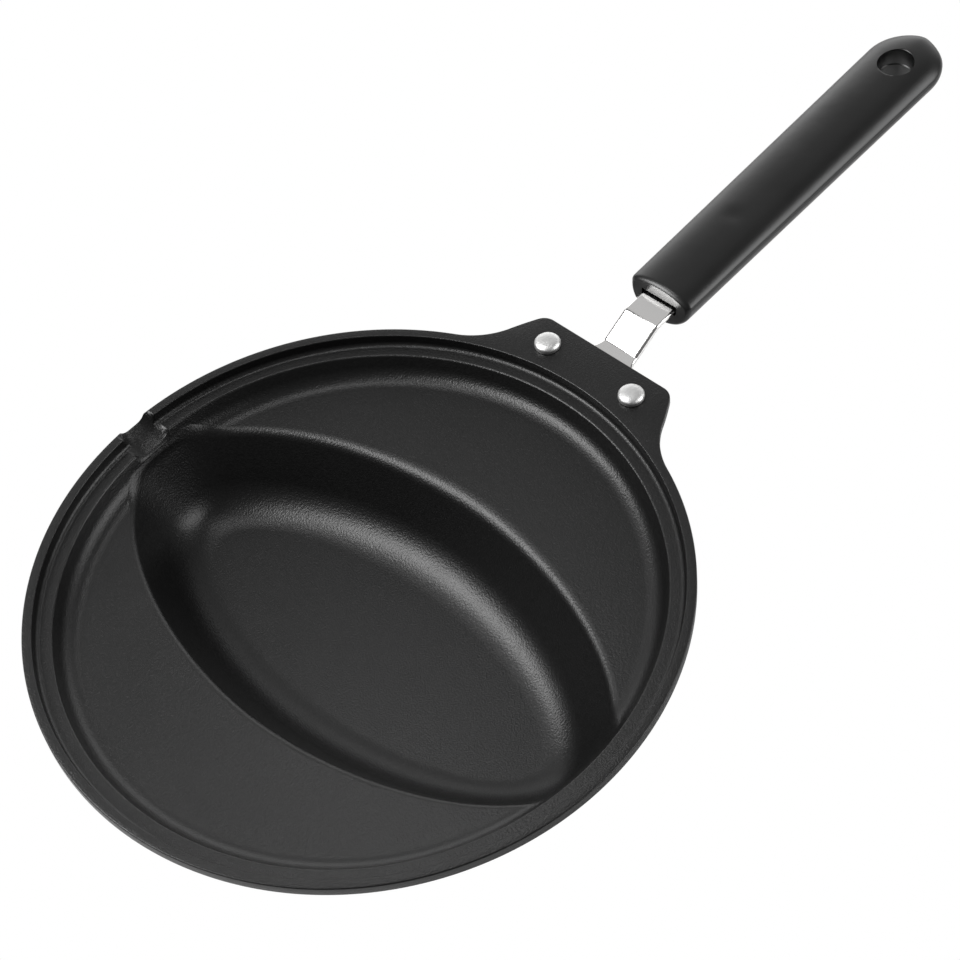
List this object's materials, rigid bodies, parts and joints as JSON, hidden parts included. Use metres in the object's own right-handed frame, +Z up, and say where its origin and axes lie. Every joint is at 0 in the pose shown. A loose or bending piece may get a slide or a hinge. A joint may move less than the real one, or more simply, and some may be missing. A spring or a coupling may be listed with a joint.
{
  "type": "omurice pan",
  "caption": "Round frying pan with a lens-shaped well across its floor, a stepped rim with a pouring spout, and a long grip on a riveted steel bracket.",
  "frame": {"origin": "centre of the round pan, on the flat underside of the well that the pan stands on", "axes": "+X runs along the handle away from the pan, +Y runs along the well towards the pouring spout, +Z is up"},
  "size_m": [0.4282, 0.225, 0.0588],
  "materials": {
    "non_stick_coat": "matte black non-stick coating with a fine grain over cast aluminium",
    "rivet_alloy": "bright, lightly hammered",
    "polished_steel": "polished stainless steel",
    "black_moulding": "satin black heat-resistant moulding",
    "zinc_plate": "zinc-plated steel"
  },
  "bodies": {
    "root": {"pan_body": "non_stick_coat", "rivet_left": "rivet_alloy", "rivet_right": "rivet_alloy", "handle_bracket": "polished_steel", "grip": "black_moulding", "grip_screw": "zinc_plate", "screw_washer": "zinc_plate"}
  },
  "joints": []
}
